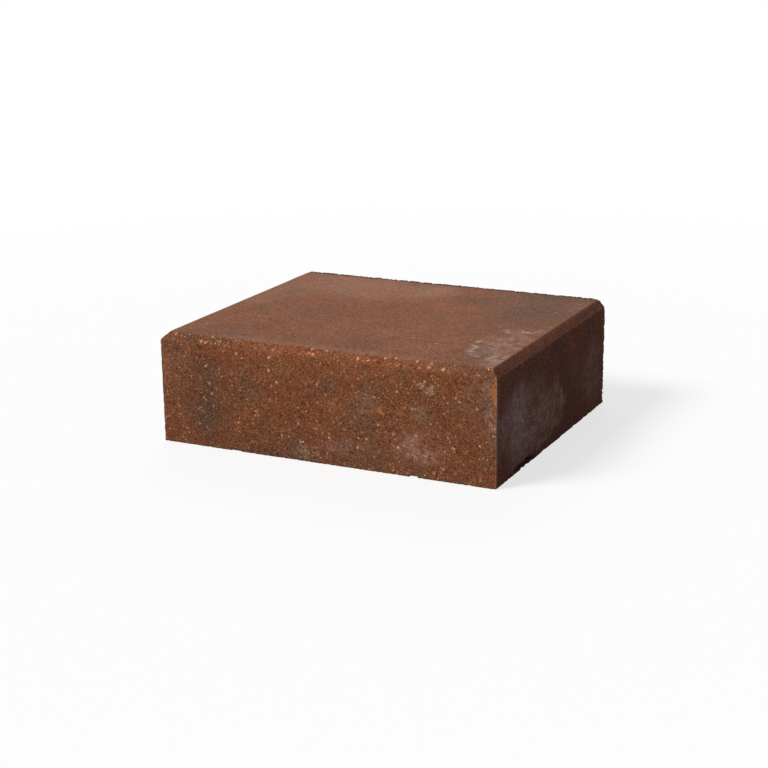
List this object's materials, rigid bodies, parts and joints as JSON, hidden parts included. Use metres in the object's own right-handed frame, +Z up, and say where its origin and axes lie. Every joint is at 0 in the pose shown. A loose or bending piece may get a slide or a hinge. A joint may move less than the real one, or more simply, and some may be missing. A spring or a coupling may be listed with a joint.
{
  "type": "concrete step block",
  "caption": "Solid concrete step block with a smooth chamfered tread, a rough speckled riser face and a split back, for laying a garden stair.",
  "frame": {"origin": "on the ground under the middle of the block", "axes": "+X along the step from end to end, -Y out of the riser face towards the person coming up, +Z up out of the tread"},
  "size_m": [0.475, 0.4001, 0.15],
  "materials": {
    "concrete": "matte"
  },
  "bodies": {
    "root": {"step_block": "concrete"}
  },
  "joints": []
}
